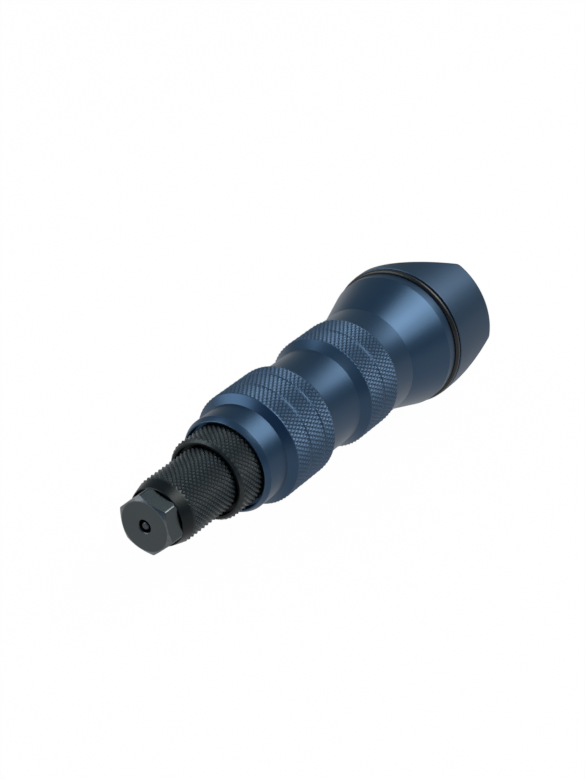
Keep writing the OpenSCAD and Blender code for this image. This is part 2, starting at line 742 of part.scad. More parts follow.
// One jaw, drawn where it grips and then moved back along the cone to rest
module jaw(turn) {
    back = jaw_travel * cos(cone_angle);
    out = jaw_travel * sin(cone_angle);
    y0 = jaw_front - back;
    y1 = y0 + jaw_len;
    fit = 0.03;
    grip_r = grip_d / 2;
    tooth = 1;
    tooth_depth = 0.25;
    lead = 1.5;
    teeth = floor((jaw_len - lead) / tooth);
    split = jaw_split / 2 / sin(60);
    side = case_d / 2;
    rotate([0, turn, 0]) translate([0, back, out]) intersection() {
        turned(concat([[grip_r + 0.5, y0], [cone_r(y0) - fit, y0], [cone_r(y1) - fit - 0.3, y1],
            [grip_r + tooth_depth, y1]],
            [for (i = [teeth : -1 : 1]) each [[grip_r + tooth_depth, y0 + lead + i * tooth],
                [grip_r, y0 + lead + (i - 1) * tooth + 0.3]]]));
        translate([0, y0 - cut, 0]) rotate([-90, 0, 0])
            linear_extrude(jaw_len + 2 * cut)
            polygon([[0, -split], [side * tan(60), -split - side], [-side * tan(60), -split - side]]);
    }
}

module jaw_1() {
    color([0.55, 0.56, 0.58]) jaw(0);
}

module jaw_2() {
    color([0.55, 0.56, 0.58]) jaw(jaw_step);
}

module jaw_3() {
    color([0.55, 0.56, 0.58]) jaw(2 * jaw_step);
}

module jaw_pusher() {
    flange_r = case_bore_d / 2 - slide_clear;
    nose_r = cone_r(pusher_front - jaw_travel) - slide_clear;
    nose_len = jaw_travel + 0.8;
    color([0.5, 0.51, 0.53]) difference() {
        turned([[0, pusher_front], [nose_r, pusher_front],
            [nose_r, pusher_front + nose_len], [flange_r, pusher_front + nose_len],
            [flange_r, pusher_rear], [0, pusher_rear]]);
        bar(pin_d + 10 * slide_clear, pusher_front - cut, pusher_rear + cut);
        bar(jaw_spring_d + 2 * slide_clear, pusher_rear - spring_seat, pusher_rear + cut);
    }
}

module jaw_spring() {
    color([0.6, 0.6, 0.62]) coil(jaw_spring_d, jaw_spring_wire,
        pusher_rear - spring_seat + face_gap, tube_thread_front - face_gap, 5, 20, 8);
}

module ejector_pin() {
    head_r = spindle_bore_d / 2 - slide_clear;
    color([0.66, 0.67, 0.68]) turned([[0, pin_depth], [pin_d / 2 - 0.2, pin_depth],
        [pin_d / 2, pin_depth + 0.2], [pin_d / 2, guide_rear + face_gap],
        [head_r, guide_rear + face_gap], [head_r, pin_head_rear], [0, pin_head_rear]]);
}

module ejector_guide() {
    color([0.72, 0.55, 0.25]) ring(spindle_bore_d - 2 * seat_clear,
        pin_d + 2 * slide_clear, screw_front, guide_rear);
}

module ejector_spring() {
    color([0.6, 0.6, 0.62]) coil(spindle_bore_d - 4 * slide_clear, pin_spring_wire,
        pin_head_rear + face_gap, spindle_bore_rear - face_gap, pin_spring_turns, 12, 6);
}

nosepiece();
nose_sleeve();
lock_ring();
housing();
seal_ring();
rear_cap();
shaft_seal();
drive_spindle();
shaft_clip();
bearing_outer_race();
bearing_inner_race();
bearing_balls();
bearing_cage();
thrust_front_washer();
thrust_needles();
thrust_cage();
thrust_rear_washer();
pull_nut();
guide_keys();
pull_tube();
jaw_case();
jaw_1();
jaw_2();
jaw_3();
jaw_pusher();
jaw_spring();
ejector_pin();
ejector_guide();
ejector_spring();
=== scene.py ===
# Rivet drill adapter: the turned and knurled outside of the tool, its finishes and the studio.
# The tool axis lies along Y and the nosepiece's front face is at the origin.
# Sizes are in millimetres and are turned into metres where a mesh is made.

import json
import math

import bmesh
import bpy
from mathutils import Matrix, Vector


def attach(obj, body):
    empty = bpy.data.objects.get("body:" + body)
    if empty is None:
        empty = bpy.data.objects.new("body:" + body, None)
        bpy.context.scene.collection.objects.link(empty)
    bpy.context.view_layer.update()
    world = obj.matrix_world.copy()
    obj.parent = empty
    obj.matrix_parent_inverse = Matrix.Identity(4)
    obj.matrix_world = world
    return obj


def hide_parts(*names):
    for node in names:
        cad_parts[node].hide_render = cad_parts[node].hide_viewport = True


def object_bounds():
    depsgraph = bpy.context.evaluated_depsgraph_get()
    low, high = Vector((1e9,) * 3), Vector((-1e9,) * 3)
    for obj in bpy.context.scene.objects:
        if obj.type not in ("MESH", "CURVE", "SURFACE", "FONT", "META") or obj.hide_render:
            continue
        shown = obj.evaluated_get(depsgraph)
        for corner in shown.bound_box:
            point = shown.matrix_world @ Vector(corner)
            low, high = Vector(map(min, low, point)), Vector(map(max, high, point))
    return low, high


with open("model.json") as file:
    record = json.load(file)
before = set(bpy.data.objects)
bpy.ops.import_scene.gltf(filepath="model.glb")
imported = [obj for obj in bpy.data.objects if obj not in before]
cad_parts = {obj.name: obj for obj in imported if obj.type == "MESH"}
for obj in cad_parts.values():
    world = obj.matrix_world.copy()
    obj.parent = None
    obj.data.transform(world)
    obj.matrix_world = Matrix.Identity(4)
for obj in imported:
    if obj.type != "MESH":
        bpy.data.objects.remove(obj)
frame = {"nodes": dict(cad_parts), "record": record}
cad_low, cad_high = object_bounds()

MM = 0.001

# The flat of a row that has none lies further out than any piece
NO_FLAT = 1000.0

# How far past a limit a row may be, in millimetres, and how close points are joined, in metres
HAIR = 0.000001
WELD = 0.000002

# Stations along the tool axis, from the nose to the drive shank
NOSE_CHAMFER_REAR = 1.2
HEX_REAR = 5.6
SLEEVE_SMOOTH_REAR = 9.0
SLEEVE_KNURL_FRONT = 10.8
NOSE_THREAD_REAR = 13.0
TAIL_REAR = 16.0
RING_FRONT = 28.5
SLEEVE_KNURL_REAR = 29.5
BODY_FRONT = 37.6
RING_REAR = 40.5
COLLAR_REAR = 47.7
FRONT_GRIP_FRONT = 50.0
SLEEVE_REAR = 56.0
FRONT_GROOVES = (56.7, 64.2)
FRONT_GRIP_REAR = 69.4
NECK_FRONT = 71.6
SCREW_FRONT = 78.0
SCREW_THREAD_FRONT = 79.0
KEY_SPACE_FRONT = 83.0
NECK_REAR = 86.6
REAR_GRIP_FRONT = 90.0
REAR_GROOVE = 97.5
REAR_GRIP_REAR = 105.3
CONE_FRONT = 115.0
THRUST_SEAT_FRONT = 115.8
THRUST_SHOULDER = 116.3
FLANGE_FRONT = 120.3
FLANGE_REAR = 124.3
CAP_THREAD_FRONT = 124.7
CONE_REAR = 130.2
BEARING_REAR = 131.7
BODY_REAR = 133.7
CAP_FRONT = 135.8
PIN_BORE_REAR = 142.7
SHAFT_SEAL_FRONT = 147.6
CAP_REAR = 155.6
SHANK_REAR = 172.0

# Radii of the housing
COLLAR_R = 15.35
FRONT_GRIP_R = 18.1
NECK_R = 15.9
REAR_GRIP_R = 18.2
BAND_R = 17.55
RIM_R = 22.2
CAP_THREAD_R = 18.55
THRUST_BORE_R = 15.01
KEY_SPACE_R = 13.1
PULL_BORE_R = 11.5
SLEEVE_THREAD_BORE_R = 9.9
MOUTH_R = 13.95

# The sleeve, the lock ring and the nosepiece: radii, the ring's depth of mouth, and the hexagon's
# width across its flats and its turn in degrees
SLEEVE_KNURL_R = 10.4
SLEEVE_THREAD_R = 9.85
SLEEVE_BORE_R = 8.2
NOSE_THREAD_BORE_R = 6.05
RING_R = 13.15
RING_MOUTH_R = 11.3
RING_THREAD_R = 9.9
RING_MOUTH_DEPTH = 2.6
HEX_ACROSS = 16.3
HEX_TURN = 46.8 + 30.0
NOSE_THREAD_R = 6.0
TAIL_R = 3.2
MANDREL_HOLE_R = 2.0

# The rear cap: its radii, the rounding of its rear edge, the length of its rim in front of the
# flats, and the flats' distance at the rear and turn in degrees
CAP_R = 23.2
CAP_REAR_R = 23.15
CAP_SPIGOT_R = 18.5
CAP_BORE_R = 14.01
CLIP_SPACE_R = 12.5
CAP_HOLE_R = 7.0
SHAFT_SEAL_R = 9.5
CAP_EDGE = 1.2
CAP_RIM = 3.5
CAP_FLATS_ACROSS = 25.4
CAP_FLATS_TURN = -28.7

# The seal ring: its radii, and its bead's own radius and distance from the tool axis
SEAL_FRONT_R = 21.4
SEAL_REAR_R = 22.0
BEAD_R = 0.98
BEAD_OUT = 22.12

# The drive spindle
SHANK_ACROSS = 8.0
SCREW_R = 7.0
SHAFT_R = 7.5
THRUST_SEAT_R = 8.5
FLANGE_R = 13.5
SHOULDER_R = 9.0
PIN_BORE_R = 3.0

# Knurls: starts round the piece, length of one diamond along the axis, depth of the cut, and the
# number of rows and of sides in one diamond
GRIP_STARTS = 80
GRIP_LEAD = 2.4
GRIP_DEPTH = 0.36
GRIP_SPLIT = 4
SLEEVE_STARTS = 38
RING_STARTS = 46
FINE_LEAD = 1.72
FINE_DEPTH = 0.48
FINE_SPLIT = 8

# Threads: pitch and depth
SLEEVE_THREAD = (1.5, 0.75)
NOSE_THREAD = (1.75, 0.85)
SCREW_THREAD = (3.0, 1.4)

# The plain ring grooves in the grips
GROOVE_WIDTH = 0.9
GROOVE_FLOOR = 0.5
GROOVE_DEPTH = 0.36

# Half the turn from one corner of a hexagon to the next, and how much further out a corner lies
# than a flat
HALF_SECTOR = math.radians(30)
CORNER_SHARE = 1.0 / math.cos(HALF_SECTOR)

# The photograph's camera: its place in millimetres and its focal length in the photo's pixels
CAMERA_PLACE = (286.73, -361.51, 298.25)
FOCAL_PIXELS = 2000.0
PHOTO_WIDTH = 585.0
SENSOR_WIDTH = 36.0

# The studio, in metres. Each lamp has its turn and rise in degrees, width, height, power and colour
FLOOR_GAP = 0.0002
LAMP_REACH = 0.95
LAMPS = {
    "key_box": (44.9, 50.6, 0.79, 0.77, 5.8, (1.0, 0.94, 0.89)),
    "top_box": (66.0, 58.0, 0.35, 0.35, 1.25, (1.0, 0.9, 0.8)),
    "front_box": (-125.0, 34.0, 0.7, 0.95, 4.2, (1.0, 1.0, 1.0)),
}


class Nodes:
    """Adds nodes to one tree and gives their inputs a value or a link."""

    def __init__(self, tree):
        self.tree = tree

    def add(self, kind, inputs=None, **settings):
        node = self.tree.nodes.new(kind)
        for name, value in settings.items():
            setattr(node, name, value)
        for key, value in (inputs or {}).items():
            self.feed(node.inputs[key], value)
        return node

    def feed(self, socket, value):
        if isinstance(value, bpy.types.NodeSocket):
            self.tree.links.new(value, socket)
        else:
            socket.default_value = value

    def math(self, operation, *values):
        node = self.add("ShaderNodeMath", operation=operation)
        for socket, value in zip(node.inputs, values):
            self.feed(socket, value)
        return node.outputs[0]

    def mix(self, share, first, second):
        """One colour mixed with another by a share from 0 to 1."""
        node = self.add("ShaderNodeMix", {0: share, 6: first, 7: second}, data_type="RGBA")
        return node.outputs[2]

    def spread(self, noise, low, high):
        """The middle part of a noise, stretched to run from low to high."""
        ends = {"From Min": 0.3, "From Max": 0.7, "To Min": low, "To Max": high}
        return self.add("ShaderNodeMapRange", {"Value": noise, **ends}).outputs[0]


def new_sockets(tree, inputs, outputs):
    """Names a tree's inputs and outputs. Each is (name, kind)."""
    for name, kind in inputs:
        tree.interface.new_socket(name, in_out="INPUT", socket_type=kind)
    for name, kind in outputs:
        tree.interface.new_socket(name, in_out="OUTPUT", socket_type=kind)


def stored_value(nodes, name):
    """The value that the points carry under a name."""
    read = nodes.add("GeometryNodeInputNamedAttribute", {"Name": name}, data_type="FLOAT")
    return read.outputs["Attribute"]


def profile_value(nodes, profile, name, row):
    """The value that one row of the profile carries."""
    sample = nodes.add(
        "GeometryNodeSampleIndex",
        {"Geometry": profile, "Value": stored_value(nodes, name), "Index": row},
        data_type="FLOAT",
        domain="POINT",
    )
    return sample.outputs["Value"]


def ridge(nodes, phase):
    """A wave that is 1 at each whole number and falls straight to 0 halfway between."""
    turn = nodes.math("FRACT", phase)
    return nodes.math("ABSOLUTE", nodes.math("MULTIPLY_ADD", turn, 2.0, -1.0))


def build_turned_tree():
    """Turns a profile of rows about the tool axis, and cuts its knurl, its thread and its flats."""
    tree = bpy.data.node_groups.new("turned_piece", "GeometryNodeTree")
    new_sockets(
        tree,
        [
            ("Profile", "NodeSocketGeometry"),
            ("Sides", "NodeSocketInt"),
            ("Knurl Starts", "NodeSocketFloat"),
            ("Knurl Lead", "NodeSocketFloat"),
            ("Knurl Depth", "NodeSocketFloat"),
            ("Thread Pitch", "NodeSocketFloat"),
            ("Thread Depth", "NodeSocketFloat"),
            ("Flat Count", "NodeSocketFloat"),
            ("Flat Turn", "NodeSocketFloat"),
            ("Flat Softness", "NodeSocketFloat"),
            ("Sharp From", "NodeSocketFloat"),
            ("Finish", "NodeSocketMaterial"),
        ],
        [("Piece", "NodeSocketGeometry")],
    )
    nodes = Nodes(tree)
    given = nodes.add("NodeGroupInput").outputs
    profile = given["Profile"]
    sides = given["Sides"]

    # A flat sheet with one line of points for each row of the profile
    size = nodes.add("GeometryNodeAttributeDomainSize", {"Geometry": profile})
    count = size.outputs["Point Count"]
    length = nodes.math("SUBTRACT", count, 1.0)
    sheet = nodes.add(
        "GeometryNodeMeshGrid",
        {
            "Size X": length,
            "Size Y": sides,
            "Vertices X": count,
            "Vertices Y": nodes.math("ADD", sides, 1.0),
        },
    )
    place = nodes.add("GeometryNodeInputPosition")
    split = nodes.add("ShaderNodeSeparateXYZ", {"Vector": place.outputs["Position"]})
    row_at = nodes.math("ADD", split.outputs["X"], nodes.math("DIVIDE", length, 2.0))
    column_at = nodes.math("ADD", split.outputs["Y"], nodes.math("DIVIDE", sides, 2.0))
    row = nodes.add("FunctionNodeFloatToInt", {"Float": row_at}, rounding_mode="ROUND").outputs[0]
    column = nodes.math("ROUND", column_at)

    # What each row carries
    radius = profile_value(nodes, profile, "radius", row)
    station = profile_value(nodes, profile, "station", row)
    crest_radius = profile_value(nodes, profile, "crest_radius", row)
    threaded = profile_value(nodes, profile, "threaded", row)
    flat = profile_value(nodes, profile, "flat", row)
    edge = profile_value(nodes, profile, "edge", row)
    part_turn = nodes.math("DIVIDE", column, sides)
    angle = nodes.math("MULTIPLY", part_turn, 2 * math.pi)

    # Two sets of helical ridges cross, and the lower of the two makes the diamonds
    around = nodes.math("MULTIPLY", part_turn, given["Knurl Starts"])
    along = nodes.math("DIVIDE", station, given["Knurl Lead"])
    right_hand = ridge(nodes, nodes.math("ADD", around, along))
    left_hand = ridge(nodes, nodes.math("SUBTRACT", around, along))
    diamond = nodes.math("MINIMUM", right_hand, left_hand)
    cut_depth = nodes.math("MULTIPLY", nodes.math("SUBTRACT", 1.0, diamond), given["Knurl Depth"])
    knurl_radius = nodes.math("SUBTRACT", crest_radius, cut_depth)
    knurled = nodes.math("GREATER_THAN", crest_radius, 0.0)
    knurl_limit = nodes.math(
        "ADD",
        nodes.math("MULTIPLY", knurl_radius, knurled),
        nodes.math("SUBTRACT", 1.0, knurled),
    )
    cut_radius = nodes.math("MINIMUM", radius, knurl_limit)

    # How deep the knurl really cuts here, and how much of it a taper has left standing
    cut = nodes.math("DIVIDE", nodes.math("SUBTRACT", radius, cut_radius), given["Knurl Depth"])
    low_by = nodes.math("SUBTRACT", crest_radius, radius)
    turned_off = nodes.math("DIVIDE", low_by, given["Knurl Depth"])
    standing = nodes.add(
        "ShaderNodeClamp", {"Value": nodes.math("SUBTRACT", 1.0, turned_off)}
    ).outputs[0]

    # One helical ridge makes the thread
    advance = nodes.math("DIVIDE", station, given["Thread Pitch"])
    groove = nodes.math("SUBTRACT", 1.0, ridge(nodes, nodes.math("ADD", part_turn, advance)))
    cut_here = nodes.math("MULTIPLY", groove, threaded)
    thread_cut = nodes.math("MULTIPLY", cut_here, given["Thread Depth"])
    thread_radius = nodes.math("SUBTRACT", cut_radius, thread_cut)

    # Flats are planes beside the axis, with a small rounding where they meet the turned face
    half_sector = nodes.math("DIVIDE", math.pi, given["Flat Count"])
    from_flat = nodes.math("SUBTRACT", angle, given["Flat Turn"])
    off_flat = nodes.math("WRAP", from_flat, half_sector, nodes.math("MULTIPLY", half_sector, -1.0))
    slope = nodes.math("MAXIMUM", nodes.math("COSINE", off_flat), 0.001)
    flat_radius = nodes.math("DIVIDE", flat, slope)
    final_radius = nodes.math("SMOOTH_MIN", thread_radius, flat_radius, given["Flat Softness"])
    off_flats = nodes.math("GREATER_THAN", flat_radius, thread_radius)

    # Values that the splits below and the finishes read
    step = profile_value(nodes, profile, "step", row)
    kept = sheet.outputs["Mesh"]
    for name, value in (
        ("crest", nodes.math("MULTIPLY", nodes.math("MULTIPLY", diamond, knurled), standing)),
        ("valley", nodes.math("MULTIPLY", cut, knurled)),
        ("knurled", knurled),
        ("edge", nodes.math("MULTIPLY", edge, off_flats)),
        ("standing", nodes.math("MULTIPLY", knurled, standing)),
        ("step", step),
        ("column", column),
    ):
        kept = nodes.add(
            "GeometryNodeStoreNamedAttribute",
            {"Geometry": kept, "Name": name, "Value": value},
            data_type="FLOAT",
            domain="POINT",
        ).outputs["Geometry"]

    # The knurl's squares are split along the valleys, one way and the other by turns
    in_knurl = nodes.math("GREATER_THAN", stored_value(nodes, "knurled"), 0.99)
    square = nodes.math(
        "ADD",
        nodes.math("FLOOR", stored_value(nodes, "step")),
        nodes.math("FLOOR", stored_value(nodes, "column")),
    )
    odd = nodes.math("GREATER_THAN", nodes.math("MODULO", nodes.math("ABSOLUTE", square), 2.0), 0.5)
    even = nodes.math("SUBTRACT", 1.0, odd)
    kept = nodes.add(
        "GeometryNodeTriangulate",
        {"Mesh": kept, "Selection": nodes.math("MULTIPLY", in_knurl, even)},
        quad_method="FIXED",
    ).outputs["Mesh"]
    kept = nodes.add(
        "GeometryNodeTriangulate",
        {"Mesh": kept, "Selection": in_knurl},
        quad_method="FIXED_ALTERNATE",
    ).outputs["Mesh"]

    # The sheet is wrapped round the axis and its seam and poles are closed
    wrapped = nodes.add(
        "ShaderNodeCombineXYZ",
        {
            "X": nodes.math("MULTIPLY", final_radius, nodes.math("SINE", angle)),
            "Y": station,
            "Z": nodes.math("MULTIPLY", final_radius, nodes.math("COSINE", angle)),
        },
    )
    kept = nodes.add(
        "GeometryNodeSetPosition", {"Geometry": kept, "Position": wrapped.outputs["Vector"]}
    ).outputs["Geometry"]
    kept = nodes.add(
        "GeometryNodeMergeByDistance", {"Geometry": kept, "Distance": WELD}
    ).outputs["Geometry"]

    # Faces are smooth and edges sharper than the given angle stay sharp
    kept = nodes.add(
        "GeometryNodeSetShadeSmooth", {"Geometry": kept, "Shade Smooth": True}, domain="FACE"
    ).outputs["Geometry"]
    bend = nodes.add("GeometryNodeInputMeshEdgeAngle").outputs["Unsigned Angle"]
    kept = nodes.add(
        "GeometryNodeSetShadeSmooth",
        {
            "Geometry": kept,
            "Selection": nodes.math("GREATER_THAN", bend, given["Sharp From"]),
            "Shade Smooth": False,
        },
        domain="EDGE",
    ).outputs["Geometry"]
    kept = nodes.add("GeometryNodeRealizeInstances", {"Geometry": kept}).outputs["Geometry"]
    kept = nodes.add(
        "GeometryNodeSetMaterial", {"Geometry": kept, "Material": given["Finish"]}
    ).outputs["Geometry"]
    nodes.add("NodeGroupOutput", {"Piece": kept})
    return tree


def input_names(tree):
    """The identifier of each named input of a tree."""
    return {
        item.name: item.identifier
        for item in tree.interface.items_tree
        if item.item_type == "SOCKET" and item.in_out == "INPUT"
    }


def arc(radius, station, round_off, start, end, steps):
    """Points of an arc about (radius, station), in degrees from outward towards the rear."""
    points = []
    for i in range(steps + 1):
        angle = math.radians(start + (end - start) * i / steps)
        point = (radius + round_off * math.cos(angle), station + round_off * math.sin(angle))
        points.append(point)
    return points


def ring_groove(radius, station):
    """A ring groove with slanting sides in a band of the given radius."""
    return [
        (radius, station - GROOVE_WIDTH / 2),
        (radius - GROOVE_DEPTH, station - GROOVE_FLOOR / 2),
        (radius - GROOVE_DEPTH, station + GROOVE_FLOOR / 2),
        (radius, station + GROOVE_WIDTH / 2),
    ]


def eased(points, round_off):
    """Rounds every corner of a closed outline. Each point comes back as (radius, station, edge),
    where edge is 1 on an outer corner that rubs bright in use."""
    steps = 3
    area = sum(a[0] * b[1] - b[0] * a[1] for a, b in zip(points, points[1:] + points[:1]))
    turn_sign = 1 if area > 0 else -1
    result = []
    for i, point in enumerate(points):
        here = Vector(point)
        before = Vector(points[i - 1]) - here
        after = Vector(points[(i + 1) % len(points)]) - here
        turn = math.pi - before.angle(after)
        if turn < math.radians(8):
            result.append((here.x, here.y, 0.0))
            continue
        back = min(round_off * math.tan(turn / 2), before.length * 0.45, after.length * 0.45)
        start = here + before.normalized() * back
        end = here + after.normalized() * back
        outer = (-before.x * after.y + before.y * after.x) * turn_sign > 0
        for k in range(steps + 1):
            share = k / steps
            bent = start * (1 - share) ** 2 + here * 2 * share * (1 - share) + end * share * share
            result.append((bent.x, bent.y, 1.0 if outer and 0 < k < steps else 0.0))
    return result


def with_rows(rows, low, high, inner, step, crest=0.0, threaded=0.0):
    """Adds a row at every whole step between two stations, outside the inner radius, and marks
    what is cut there."""

    def within(row):
        return low - HAIR <= row["station"] <= high + HAIR and row["radius"] > inner

    result = []
    least = 0.15 * step
    for row, following in zip(rows, rows[1:] + rows[:1]):
        result.append(row)
        span = following["station"] - row["station"]
        if span == 0 or not (within(row) and within(following)):
            continue
        near, far = sorted((row["station"], following["station"]))
        stations = [
            k * step
            for k in range(math.ceil(near / step), math.floor(far / step) + 1)
            if k * step - near > least and far - k * step > least
        ]
        for station in sorted(stations, reverse=span < 0):
            share = (station - row["station"]) / span
            new = dict(row)
            for key in ("radius", "edge"):
                new[key] = row[key] * (1 - share) + following[key] * share
            new["station"] = station
            result.append(new)
    for row in result:
        if within(row):
            row["crest_radius"] = crest
            row["threaded"] = threaded
    return result


def as_rows(points):
    """Rows with nothing cut in them yet, from (radius, station, edge) points. Each is a dict."""
    return [
        {
            "radius": radius,
            "station": station,
            "edge": edge,
            "crest_radius": 0.0,
            "threaded": 0.0,
            "flat": NO_FLAT,
        }
        for radius, station, edge in points
    ]


TURNED = build_turned_tree()
TURNED_INPUTS = input_names(TURNED)


def turned_piece(
    name,
    rows,
    finish,
    sides,
    knurl=(1, 1.0, 0.0, 1.0),
    thread=(1.0, 0.0),
    flats=(2, 0.0, 0.05),
    sharp=32,
):
    """Makes one turned piece as a plain mesh. Knurl is starts, lead, depth and the step between two
    rows; thread is pitch and depth; flats are count, turn in degrees and softness."""
    starts, lead, knurl_depth, row_step = knurl
    closed = rows + rows[:1]
    mesh = bpy.data.meshes.new(name)
    points = [(row["radius"] * MM, row["station"] * MM, 0.0) for row in closed]
    mesh.from_pydata(points, [(i, i + 1) for i in range(len(points) - 1)], [])
    carried = {
        key: [row[key] * MM for row in closed]
        for key in ("radius", "station", "crest_radius", "flat")
    }
    carried["threaded"] = [row["threaded"] for row in closed]
    carried["edge"] = [row["edge"] for row in closed]
    carried["step"] = [round(row["station"] / row_step) for row in closed]
    for key, values in carried.items():
        mesh.attributes.new(key, "FLOAT", "POINT").data.foreach_set("value", values)
    piece = bpy.data.objects.new(name, mesh)
    bpy.context.scene.collection.objects.link(piece)
    modifier = piece.modifiers.new("turned", "NODES")
    modifier.node_group = TURNED
    sizes = {
        "Sides": sides,
        "Knurl Starts": float(starts),
        "Knurl Lead": lead * MM,
        "Knurl Depth": knurl_depth * MM,
        "Thread Pitch": thread[0] * MM,
        "Thread Depth": thread[1] * MM,
        "Flat Count": float(flats[0]),
        "Flat Turn": math.radians(flats[1]),
        "Flat Softness": flats[2] * MM,
        "Sharp From": math.radians(sharp),
        "Finish": finish,
    }
    for key, value in sizes.items():
        modifier[TURNED_INPUTS[key]] = value
    graph = bpy.context.evaluated_depsgraph_get()
    result = bpy.data.meshes.new_from_object(piece.evaluated_get(graph))
    piece.modifiers.clear()
    piece.data = result
    result.name = name
    solid = bmesh.new()
    solid.from_mesh(result)
    bmesh.ops.recalc_face_normals(solid, faces=solid.faces)
    solid.to_mesh(result)
    solid.free()
    return piece


def place(piece, body, slot, *stands_for):
    """Lets a finished piece move with its body and stand for its CAD nodes."""
    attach(piece, body)
    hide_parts(*stands_for)


def effect_group(name, inputs, outputs):
    """An empty shader node group with named sockets, and its nodes."""
    tree = bpy.data.node_groups.new(name, "ShaderNodeTree")
    new_sockets(tree, inputs, outputs)
    nodes = Nodes(tree)
    return tree, nodes, nodes.add("NodeGroupInput").outputs


def build_turning_marks():
    """Fine rings left by the lathe: the height changes along the axis and the radius only."""
    tree, nodes, given = effect_group(
        "turning_marks",
        [("Coordinates", "NodeSocketVector"), ("Spacing", "NodeSocketFloat")],
        [("Height", "NodeSocketFloat")],
    )
    split = nodes.add("ShaderNodeSeparateXYZ", {"Vector": given["Coordinates"]})
    x, y, z = (split.outputs[axis] for axis in "XYZ")
    squares = nodes.math("ADD", nodes.math("MULTIPLY", x, x), nodes.math("MULTIPLY", z, z))
    radius = nodes.math("SQRT", squares)
    along = nodes.math("ADD", y, nodes.math("MULTIPLY", radius, 0.83))
    noise = nodes.add(
        "ShaderNodeTexNoise",
        {"W": nodes.math("DIVIDE", along, given["Spacing"]), "Scale": 1.0, "Detail": 2.0},
        noise_dimensions="1D",
    )
    nodes.add("NodeGroupOutput", {"Height": noise.outputs["Fac"]})
    return tree


def build_surface_grain():
    """The even satin of a blasted or plated surface, with slow cloudy changes over it."""
    tree, nodes, given = effect_group(
        "surface_grain",
        [
            ("Coordinates", "NodeSocketVector"),
            ("Grain Size", "NodeSocketFloat"),
            ("Cloud Size", "NodeSocketFloat"),
        ],
        [("Grain", "NodeSocketFloat"), ("Clouds", "NodeSocketFloat")],
    )
    fine = nodes.add(
        "ShaderNodeTexNoise",
        {
            "Vector": given["Coordinates"],
            "Scale": nodes.math("DIVIDE", 1.0, given["Grain Size"]),
            "Detail": 3.0,
            "Roughness": 0.6,
        },
    )
    slow = nodes.add(
        "ShaderNodeTexNoise",
        {
            "Vector": given["Coordinates"],
            "Scale": nodes.math("DIVIDE", 1.0, given["Cloud Size"]),
            "Detail": 4.0,
            "Roughness": 0.55,
        },
    )
    nodes.add("NodeGroupOutput", {"Grain": fine.outputs["Fac"], "Clouds": slow.outputs["Fac"]})
    return tree


def build_wear_and_painted_light():
    """Where hands and tools wear a finish: outer edges and the crests of a knurl, and the lock
    ring's lip, where the wear colour is also a painted highlight. It also gives the knurl's valleys
    and standing share, which the finishes use for painted shade and a painted sheen.
    """
    tree, nodes, given = effect_group(
        "rubbed_edges_and_painted_light",
        [
            ("Coordinates", "NodeSocketVector"),
            ("Edge Wear", "NodeSocketFloat"),
            ("Crest Wear", "NodeSocketFloat"),
        ],
        [
            ("Mask", "NodeSocketFloat"),
            ("Valley", "NodeSocketFloat"),
            ("Knurled", "NodeSocketFloat"),
        ],
    )
    patches = nodes.add(
        "ShaderNodeTexNoise",
        {"Vector": given["Coordinates"], "Scale": 900.0, "Detail": 3.0, "Roughness": 0.6},
    )
    broken = nodes.add(
        "ShaderNodeMapRange",
        {"Value": patches.outputs["Fac"], "From Min": 0.3, "From Max": 0.62, "To Min": 0.45},
    )
    edge = nodes.add("ShaderNodeAttribute", attribute_name="edge").outputs["Fac"]
    crest = nodes.add("ShaderNodeAttribute", attribute_name="crest").outputs["Fac"]
    knurled = nodes.add("ShaderNodeAttribute", attribute_name="standing").outputs["Fac"]
    tip = nodes.math("POWER", nodes.math("MAXIMUM", crest, 0.0), 1.6)
    edge_part = nodes.math("MULTIPLY", edge, given["Edge Wear"])
    crest_part = nodes.math("MULTIPLY", tip, given["Crest Wear"])
    rubbed_and_lit = nodes.math("MULTIPLY", nodes.math("MAXIMUM", edge_part, crest_part), broken.outputs[0])
    valley = nodes.add("ShaderNodeAttribute", attribute_name="valley").outputs["Fac"]
    nodes.add("NodeGroupOutput", {"Mask": rubbed_and_lit, "Valley": valley, "Knurled": knurled})
    return tree


MARKS = build_turning_marks()
GRAIN = build_surface_grain()
WEAR_LIGHT_GROUP = build_wear_and_painted_light()


def effect(nodes, group, **values):
    """Places one of the shared effects in a material, with its named inputs given."""
    node = nodes.add("ShaderNodeGroup", node_tree=group)
    for name, value in values.items():
        nodes.feed(node.inputs[name.replace("_", " ")], value)
    return node


def new_material(name):
    """An empty material and its nodes."""
    material = bpy.data.materials.new(name)
    material.use_nodes = True
    material.node_tree.nodes.clear()
    return material, Nodes(material.node_tree)


